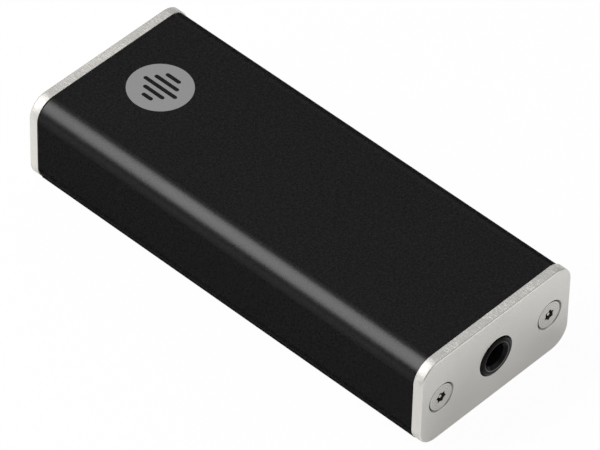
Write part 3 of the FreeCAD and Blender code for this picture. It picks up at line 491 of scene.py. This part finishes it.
def turnedScrew(name):                # its head's top lies at the origin, and it points along +Y
    head, shank, length = screw["headRadius"], screw["shankRadius"], screw["length"]
    use()
    bpy.ops.mesh.primitive_circle_add(vertices=96, radius=(head - screw["rimRound"]) * mm,
                                      fill_type="NGON", rotation=(math.radians(90), 0, 0))
    piece = keepPlace(name)
    steps = [(screw["rimRound"], head), (screw["rim"], head), (screw["rim"] + head - shank, shank)]
    depth = steps[-1][0]
    while depth + screw["threadPitch"] < length - screw["tipChamfer"]:     # grooves of the thread
        for share, cut in zip(screw["threadShares"], (0, screw["threadDepth"], 0)):
            steps.append((depth + screw["threadPitch"] * share, shank - cut))
        depth += screw["threadPitch"]
    steps += [(length - screw["tipChamfer"], shank), (length, shank - screw["tipChamfer"])]
    pick(piece, vertexTest=lambda v: True)
    lastDepth, lastRadius = 0, head - screw["rimRound"]
    for stepDepth, radius in steps:
        extrudeAlongY(stepDepth - lastDepth)
        shrink(radius / lastRadius, stepDepth)
        lastDepth, lastRadius = stepDepth, radius
    closeMesh(piece)
    boolean(piece, "DIFFERENCE", driveCutter())
    pinFoot = screw["driveDepth"] + 0.2           # under the drive's floor, inside the head
    pin = rodAlongY("pin", 0, 0, screw["pinRadius"], screw["pinTop"], pinFoot, 32)
    bevel(pin, screw["pinRound"], 3, atY(screw["pinTop"]))
    boolean(piece, "UNION", pin)
    finishMesh(piece, screw["edgeRound"])
    return piece


def placedScrew(master, name, x, y, turn, facing):
    piece = master.copy()
    piece.data = master.data.copy()
    bpy.context.scene.collection.objects.link(piece)
    use(piece)
    piece.name = name
    piece.rotation_euler = (0, math.radians(turn), facing)
    piece.location = (x * mm, y * mm, plate["screwZ"] * mm)
    bpy.ops.object.transform_apply(location=True, rotation=True, scale=True)
    return piece


turnedSteel = screwFinish()
master = turnedScrew("screwMaster")
for end, facing, outward in (("front", 0, -1), ("rear", math.pi, 1)):
    low, high = (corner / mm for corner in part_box(f"{end}_plate"))
    headTop = low.y + screw["recess"] if outward < 0 else high.y - screw["recess"]
    pair = [placedScrew(master, f"{end}Screw", side * plate["screwX"], headTop, turn, facing)
            for side, turn in zip((-1, 1), screwTurns[end])]
    use(*pair)
    bpy.ops.object.join()
    screws = bpy.context.object
    screws.name = screws.data.name = f"{end}EndScrews"
    wear(screws, turnedSteel)
    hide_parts(f"{end}_screws")
bpy.data.objects.remove(master)
print("screws made")


# Headphone socket: a glossy moulded nose and block, bored for the plug and slotted for its springs.
# Its places along Y are counted from the nose's tip.

socket = {"noseRadius": 3.0, "noseRound": 0.45, "noseEnd": 2.1, "boreRadius": 1.8, "boreLength": 4.6,
          "entry": 0.6, "mouthRound": 0.12, "reliefRadius": 2.1,
          "side": 4.0, "floor": 3.4, "top": 3.1, "end": 13.6, "blockEdge": 0.25, "edgeRound": 0.05,
          "pegRadius": 0.5, "pegLength": 1.2, "pegs": (3.2, 11.9),
          "slotHalf": 0.75, "leafInner": 2.45, "tipSlot": (4.6, 12.75), "tipTerminal": (4.6, 5.6),
          "ringSlot": (7.25, 13.4), "ringTerminal": (12.4, 13.4), "groundSlot": (4.85, 10.8)}
# The paler colour and the ring below paint a highlight: a thin pale line round the edge of the bore's
# mouth.
gloss = {"dark": (0.006, 0.0057, 0.0058), "light": (0.011, 0.0105, 0.0106), "specularLevel": 0.08,
         "roughness": 0.2, "paintedHighlight": (0.20, 0.196, 0.193)}
mouthHighlight = {"inset": 0.06, "half": 0.11, "end": -37.0, "highlightBreakup": 1.6}     # it ends at this place along Y


def plasticFinish(name, look, paintedHighlight=None):
    finish = Finish(name)
    grain = finish.noise(7.0)
    flow = finish.noise(0.5, detail=3, place=finish.stretched((1, 0.35, 1)))
    shade = finish.tint(flow * 0.7 + grain * 0.3, look["dark"], look["light"])
    if paintedHighlight:
        # Where a painted highlight is given, the colour is tinted paler there.
        shade = finish.tint(paintedHighlight(finish), shade, look["paintedHighlight"])
    return finish.surface(baseColor=shade, specularLevel=look["specularLevel"],
                          roughness=look["roughness"] + (flow - 0.5) * 0.05 + grain * 0.05,
                          normal=finish.bump(grain * 0.6 + flow * 0.4, 0.004))


def paintedMouthHighlight(finish):                 # a painted highlight: a paler ring round the edge of the bore's mouth, broken up by noise
    x, y, z = finish.axes()
    fromAxis = ((x / mm) ** 2 + (z / mm - plate["noseZ"]) ** 2) ** 0.5
    ringRadius = socket["boreRadius"] + socket["entry"] - mouthHighlight["inset"]
    offRing = abs(fromAxis - ringRadius) / mouthHighlight["half"]
    nearFace = y / mm < mouthHighlight["end"]
    highlightBreakup = finish.noise(mouthHighlight["highlightBreakup"], detail=3)
    return (1 - offRing).most(0) * nearFace * (0.45 + highlightBreakup * 1.1).least(1)


def headphoneSocket(name):
    tip, axis = (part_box("jack_housing")[0] / mm).y, plate["noseZ"]
    body = block(name, (-socket["side"], tip + socket["noseEnd"], axis - socket["floor"]),
                 (socket["side"], tip + socket["end"], axis + socket["top"]))
    bevel(body, socket["blockEdge"], 3, lambda a, b: alongY(a, b) or a.z > axis and b.z > axis)
    nose = rodAlongY("nose", 0, axis, socket["noseRadius"], tip, tip + socket["noseEnd"] + 1, 128)
    bevel(nose, socket["noseRound"], 8, atY(tip))
    boolean(body, "UNION", nose)
    entry, bore = socket["entry"], socket["boreRadius"]
    past = 0.5                        # how far the cutters run on past what they cut
    boolean(body, "DIFFERENCE",
            rodAlongY("bore", 0, axis, bore, tip - 1, tip + socket["boreLength"] + past, 128),
            coneAlongY("mouth", 0, axis, bore + entry + past, bore, tip - past, tip + entry, 128),
            rodAlongY("relief", 0, axis, socket["reliefRadius"], tip + socket["boreLength"],
                      tip + socket["end"] + 1, 128))
    half, inner = socket["slotHalf"], socket["leafInner"]
    side, floor = socket["side"] + 1, socket["floor"] + 1         # the cutters run on outside the block
    slots = {"tipSlot": (0, side, -half, half), "tipTerminal": (inner, side, -floor, 0),
             "ringSlot": (-side, 0, -half, half), "ringTerminal": (-side, -inner, -floor, 0),
             "groundSlot": (-half, half, -floor, 0)}
    for slot, (left, right, bottom, top) in slots.items():
        start, end = socket[slot]
        boolean(body, "DIFFERENCE", block("slot", (left, tip + start, axis + bottom),
                                          (right, tip + end, axis + top)))
    inBlock = 0.3                     # how far a peg's rod reaches up into the block
    for depth in socket["pegs"]:
        use()
        middle = axis - socket["floor"] - socket["pegLength"] / 2 + inBlock / 2
        bpy.ops.mesh.primitive_cylinder_add(
            vertices=32, radius=socket["pegRadius"] * mm, depth=(socket["pegLength"] + inBlock) * mm,
            location=(0, (tip + depth) * mm, middle * mm))
        boolean(body, "UNION", keepPlace("peg"))

    def atMouth(v):
        return abs(v.y - tip) < close and abs(math.hypot(v.x, v.z - axis) - bore - entry) < 2 * close
    bevel(body, socket["mouthRound"], 4, lambda a, b: atMouth(a) and atMouth(b))
    finishMesh(body, socket["edgeRound"])
    return body


glossyNylon = plasticFinish("glossyNylon", gloss, paintedHighlight=paintedMouthHighlight)
jack = headphoneSocket("headphoneSocket")
wear(jack, glossyNylon)
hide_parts("jack_housing")
print("headphone socket made")


# USB socket: folded and plated sheet

usb = {"dark": (0.50, 0.49, 0.47), "light": (0.66, 0.65, 0.63), "roughness": 0.24,
       "grain": 5.0, "depth": 0.004, "stretch": (1, 0.15, 1), "edgeRound": 0.04}


def metalFinish(name, look):
    finish = Finish(name)
    rolled = finish.noise(look["grain"], detail=3, roughness=0.6, place=finish.stretched(look["stretch"]))
    cloud = finish.noise(0.4)
    shade = finish.tint(rolled * 0.6 + cloud * 0.4, look["dark"], look["light"])
    return finish.surface(baseColor=shade, metallic=1.0,
                          roughness=look["roughness"] + (rolled - 0.5) * 0.08 + (cloud - 0.5) * 0.05,
                          normal=finish.bump(rolled, look["depth"]))


nickelSheet = metalFinish("nickelSheet", usb)
shell = copyNode("usb_shell", "usbShell")
finishMesh(shell, usb["edgeRound"])
wear(shell, nickelSheet)
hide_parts("usb_shell")
print("USB shell made")


# Mark on the top: a printed disc near the USB end, with plain level bars left open in it

mark = {"centreX": 0.16, "centreY": 26.8, "radius": 4.85, "pitch": 1.3, "width": 0.66,
        "lengths": (2.0, 4.0, 6.4, 4.6, 2.8), "thickness": 0.012, "top": 14.8}
inkLook = {"dark": (0.168, 0.168, 0.168), "light": (0.215, 0.215, 0.214), "speckle": 7.0,
           "roughness": 0.5, "depth": 0.004}


def inkFinish():
    finish = Finish("greyInk")
    speckle = finish.noise(inkLook["speckle"], detail=3, roughness=0.7)
    shade = finish.tint(speckle, inkLook["dark"], inkLook["light"])
    return finish.surface(baseColor=shade, roughness=inkLook["roughness"] + (speckle - 0.5) * 0.1,
                          normal=finish.bump(speckle, inkLook["depth"]))


def levelBars(name):
    low, high = mark["top"], mark["top"] + mark["thickness"]
    use()
    bpy.ops.mesh.primitive_cylinder_add(
        vertices=128, radius=mark["radius"] * mm, depth=mark["thickness"] * mm,
        location=(mark["centreX"] * mm, mark["centreY"] * mm, (low + high) / 2 * mm))
    disc = keepPlace(name)
    half, middle = mark["width"] / 2, (len(mark["lengths"]) - 1) / 2
    past = 0.1                        # how far the bars' cutters run on past both faces
    for number, length in enumerate(mark["lengths"]):
        x = mark["centreX"] + (number - middle) * mark["pitch"]
        bar = block("bar", (x - half, mark["centreY"] - length / 2, low - past),
                    (x + half, mark["centreY"] + length / 2, high + past))
        bevel(bar, half * 0.98, 8, lambda a, b: abs(a.z - b.z) > past)     # nearly half-round ends
        boolean(disc, "DIFFERENCE", bar)
    return disc


topMark = levelBars("levelBars")
wear(topMark, inkFinish())
print("mark made")


# Board and its parts keep their own meshes and get their finishes

board = {"pitch": 0.62, "trackWidth": 0.2, "clearance": 0.13, "used": 0.53,
         "stepEvery": 7.0, "stepStart": 2.4, "step": 1.9, "sideShift": 40, "lengthShift": 3,
         "viasPerMillimetre": 0.27, "viaRadius": 0.3, "viaHole": 0.15}
boardLook = {"bare": (0.006, 0.058, 0.026), "copper": (0.018, 0.125, 0.052),
             "track": (0.028, 0.175, 0.072), "via": (0.42, 0.40, 0.34), "hole": (0.006, 0.02, 0.01),
             "weave": 3.0, "roughness": 0.32, "roughnessByWeave": 0.12, "copperDepth": 0.02}


def boardFinish():                    # solder mask over a copper plane, bundles of tracks, and vias
    finish = Finish("greenBoard")
    x, y = finish.axes()[:2]
    weave = finish.noise(boardLook["weave"])
    alongBoard = (y / mm + board["lengthShift"]).zigzag(board["stepEvery"])
    sideStep = (alongBoard - board["stepStart"]).most(0).least(board["step"])
    lane = x / mm + sideStep + board["sideShift"]
    offTrack = (lane.zigzag(board["pitch"] / 2) - board["pitch"] / 2) * -1
    laneNumber = (lane / board["pitch"] + 0.5).whole()
    bundle = finish.node("ShaderNodeCombineXYZ", None, {
        0: laneNumber * 0.31, 1: y / mm * 0.07, 2: 0.5})
    chance = finish.node("ShaderNodeTexNoise", None, {"Vector": bundle, "Scale": 1.0, "Detail": 0.0})
    used = chance > board["used"]     # only some lanes hold a track
    track = (offTrack < board["trackWidth"] / 2) * used
    gap = (offTrack < board["trackWidth"] / 2 + board["clearance"]) * used
    fromVia = finish.node("ShaderNodeTexVoronoi", {"feature": "F1"}, {
        "Vector": finish.stretched((1, 1, 0)), "Scale": board["viasPerMillimetre"] / mm}, out="Distance")
    fromVia = fromVia / board["viasPerMillimetre"]
    via, hole = fromVia < board["viaRadius"], fromVia < board["viaHole"]
    shade = finish.tint(gap, boardLook["copper"], boardLook["bare"])
    shade = finish.tint(track, shade, boardLook["track"])
    shade = finish.tint(via, shade, boardLook["via"])
    shade = finish.tint(hole, shade, boardLook["hole"])
    copper = (1 - gap).most(track).most(via) - hole
    return finish.surface(baseColor=shade, metallic=(via - hole) * 0.9,
                          roughness=boardLook["roughness"] + weave * boardLook["roughnessByWeave"],
                          normal=finish.bump(weave * 0.15 + copper * 0.8, boardLook["copperDepth"]))


def mouldingFinish(name, look):
    finish = Finish(name)
    grain = finish.noise(8.0, detail=3, roughness=0.7)
    cloud = finish.noise(0.8)
    shade = finish.tint(grain * 0.6 + cloud * 0.4, look["dark"], look["light"])
    return finish.surface(baseColor=shade, roughness=look["roughness"] + (grain - 0.5) * 0.12,
                          normal=finish.bump(grain, 0.01))


metals = {                            # the grain runs longer along an axis whose stretch is below 1
    "tinnedCopper": {"dark": (0.48, 0.48, 0.47), "light": (0.66, 0.66, 0.65), "roughness": 0.3,
                     "grain": 6.0, "depth": 0.006, "stretch": (1, 1, 1)},
    "drawnCan": {"dark": (0.55, 0.55, 0.56), "light": (0.68, 0.68, 0.69), "roughness": 0.28,
                 "grain": 3.0, "depth": 0.004, "stretch": (1, 1, 0.1)},
    "platedBronze": {"dark": (0.50, 0.42, 0.28), "light": (0.66, 0.57, 0.40), "roughness": 0.25,
                     "grain": 4.0, "depth": 0.003, "stretch": (1, 0.2, 1)},
    "goldContact": {"dark": (0.66, 0.48, 0.20), "light": (0.80, 0.60, 0.28), "roughness": 0.22,
                    "grain": 4.0, "depth": 0.003, "stretch": (1, 0.2, 1)},
    "crystalLid": {"dark": (0.52, 0.51, 0.49), "light": (0.64, 0.63, 0.61), "roughness": 0.26,
                   "grain": 4.0, "depth": 0.004, "stretch": (0.2, 1, 1)},
}
mouldings = {
    "blackMoulding": {"dark": (0.016, 0.016, 0.017), "light": (0.034, 0.034, 0.036), "roughness": 0.5},
    "firedTray": {"dark": (0.22, 0.20, 0.18), "light": (0.34, 0.32, 0.29), "roughness": 0.55},
    "ferriteCore": {"dark": (0.035, 0.035, 0.037), "light": (0.07, 0.07, 0.072), "roughness": 0.6},
    "firedCapacitor": {"dark": (0.30, 0.20, 0.12), "light": (0.46, 0.34, 0.22), "roughness": 0.5},
    "resistorGlaze": {"dark": (0.010, 0.010, 0.011), "light": (0.026, 0.026, 0.028), "roughness": 0.28},
}
blackPlasticLook = {"dark": (0.009, 0.009, 0.010), "light": (0.018, 0.018, 0.019), "specularLevel": 0.4,
                    "roughness": 0.42}
finishes = {"greenBoard": boardFinish()}
for finishName, look in metals.items():
    finishes[finishName] = metalFinish(finishName, look)
for finishName, look in mouldings.items():
    finishes[finishName] = mouldingFinish(finishName, look)
finishes["blackPlastic"] = plasticFinish("blackPlastic", blackPlasticLook)
dressed = {
    "greenBoard": ["circuit_board"],
    "tinnedCopper": ["headphone_amplifier_leads", "audio_converter_leads", "usb_controller_leads",
                     "memory_chip_leads", "surge_diode_leads", "voltage_regulator_leads", "capacitor_tabs",
                     "power_choke_feet", "chip_capacitor_ends", "chip_resistor_ends"],
    "drawnCan": ["capacitor_cans"],
    "platedBronze": ["jack_tip_spring", "jack_ring_spring", "jack_ground_spring", "jack_tip_terminal",
                     "jack_ring_terminal", "jack_ground_terminal"],
    "goldContact": ["usb_contacts"],
    "crystalLid": ["crystal_lid"],
    "blackMoulding": ["headphone_amplifier", "audio_converter", "usb_controller", "memory_chip",
                      "surge_diode", "voltage_regulators"],
    "firedTray": ["crystal_tray"],
    "ferriteCore": ["power_choke"],
    "firedCapacitor": ["chip_capacitors"],
    "resistorGlaze": ["chip_resistors"],
    "blackPlastic": ["usb_insulator", "capacitor_bases"],
}
for finishName, nodes in dressed.items():
    for node in nodes:
        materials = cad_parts[node].data.materials
        materials.clear()
        materials.append(finishes[finishName])
print("board and inner parts finished")


# Floor, world and lamps

floorLook = {"size": 0.8, "shade": (0.67, 0.67, 0.67), "cameraGlow": 0.97, "mirrorGlow": 0.30}
sky = {"strength": 0.29, "seenByCamera": 1.0, "mirrorGlow": 0.0}
lamps = [                             # the first number of a size runs across the case
    {"name": "windowPanel", "toward": (-0.42, 0.47, 0.78), "distance": 0.75, "size": (1.0, 0.32),
     "power": 7.9},
    {"name": "frontPanel", "toward": (0.40, -0.78, 0.38), "distance": 0.8, "size": (0.7, 0.7),
     "power": 1.0},
    {"name": "fillPanel", "toward": (0.83, 0.48, 0.28), "distance": 0.8, "size": (0.5, 0.5),
     "power": 0.7},
]


def glowSeen(finish, byCamera, byMirror):         # how much glow the camera, and a mirror or a glass, sees
    path = finish.node("ShaderNodeLightPath", out="Is Camera Ray").socket.node
    camera, glossy, through = (Level(finish, path.outputs[name]) for name in
                               ("Is Camera Ray", "Is Glossy Ray", "Is Transmission Ray"))
    return camera * byCamera + (glossy + through) * byMirror


def makeFloor():
    use()
    bpy.ops.mesh.primitive_plane_add(size=floorLook["size"])
    floor = keepPlace("floor")
    finish = Finish("paleFloor")
    matt = finish.node("ShaderNodeBsdfDiffuse", None, {"Color": (*floorLook["shade"], 1)})
    glow = finish.node("ShaderNodeEmission", None, {"Color": (1, 1, 1, 1), "Strength": 1.0})
    mixed = finish.node("ShaderNodeMixShader", None, {
        0: glowSeen(finish, floorLook["cameraGlow"], floorLook["mirrorGlow"]), 1: matt, 2: glow})
    finish.toOutput(mixed)
    floor.data.materials.append(finish.material)


def makeSky():
    world = bpy.data.worlds.new("paleRoom")
    room = Finish("paleRoom", world)
    strength = glowSeen(room, sky["seenByCamera"] - sky["strength"], sky["mirrorGlow"]) + sky["strength"]
    pale = room.node("ShaderNodeBackground", None, {"Color": (1, 1, 1, 1), "Strength": strength})
    room.toOutput(pale, "ShaderNodeOutputWorld")
    bpy.context.scene.world = world


def makeLamp(settings):
    use()
    aim = Vector((0, 0, 7.5 * mm))    # the middle of the case
    toward = Vector(settings["toward"]).normalized()
    bpy.ops.object.light_add(type="AREA", location=aim + toward * settings["distance"])
    lamp = bpy.context.object
    lamp.name = settings["name"]
    across = Vector((0, 1, 0)).cross(toward).normalized()
    lamp.rotation_euler = Matrix((across, toward.cross(across), toward)).transposed().to_euler()
    lamp.data.shape = "ELLIPSE"
    lamp.data.size, lamp.data.size_y = settings["size"]
    lamp.data.energy = settings["power"]


makeFloor()
makeSky()
for settings in lamps:
    makeLamp(settings)
print("floor and lamps made")


# Camera

shot = {"aim": (0, 0.15, 7.5), "azimuth": -47.45, "elevation": 44.68, "roll": 1.54,
        "distance": 820.36, "slideRight": -0.534, "slideUp": 0.791, "lens": 354.7}


def makeCamera():
    around, above, roll = (math.radians(shot[name]) for name in ("azimuth", "elevation", "roll"))
    level = math.cos(above)
    back = Vector((math.sin(around) * level, -math.cos(around) * level, math.sin(above)))
    across = Vector((math.cos(around), math.sin(around), 0))
    right = math.cos(roll) * across + math.sin(roll) * back.cross(across)
    up = back.cross(right)
    place = (Vector(shot["aim"]) + shot["distance"] * back - shot["slideRight"] * right
             - shot["slideUp"] * up) * mm
    use()
    bpy.ops.object.camera_add()
    camera = bpy.context.object
    camera.name = "shotCamera"
    camera.matrix_world = Matrix.Translation(place) @ Matrix((right, up, back)).transposed().to_4x4()
    camera.data.lens = shot["lens"]
    camera.data.clip_start = 0.01
    bpy.context.scene.camera = camera


makeCamera()
bpy.context.scene.view_settings.view_transform = "Standard"
print("camera set")
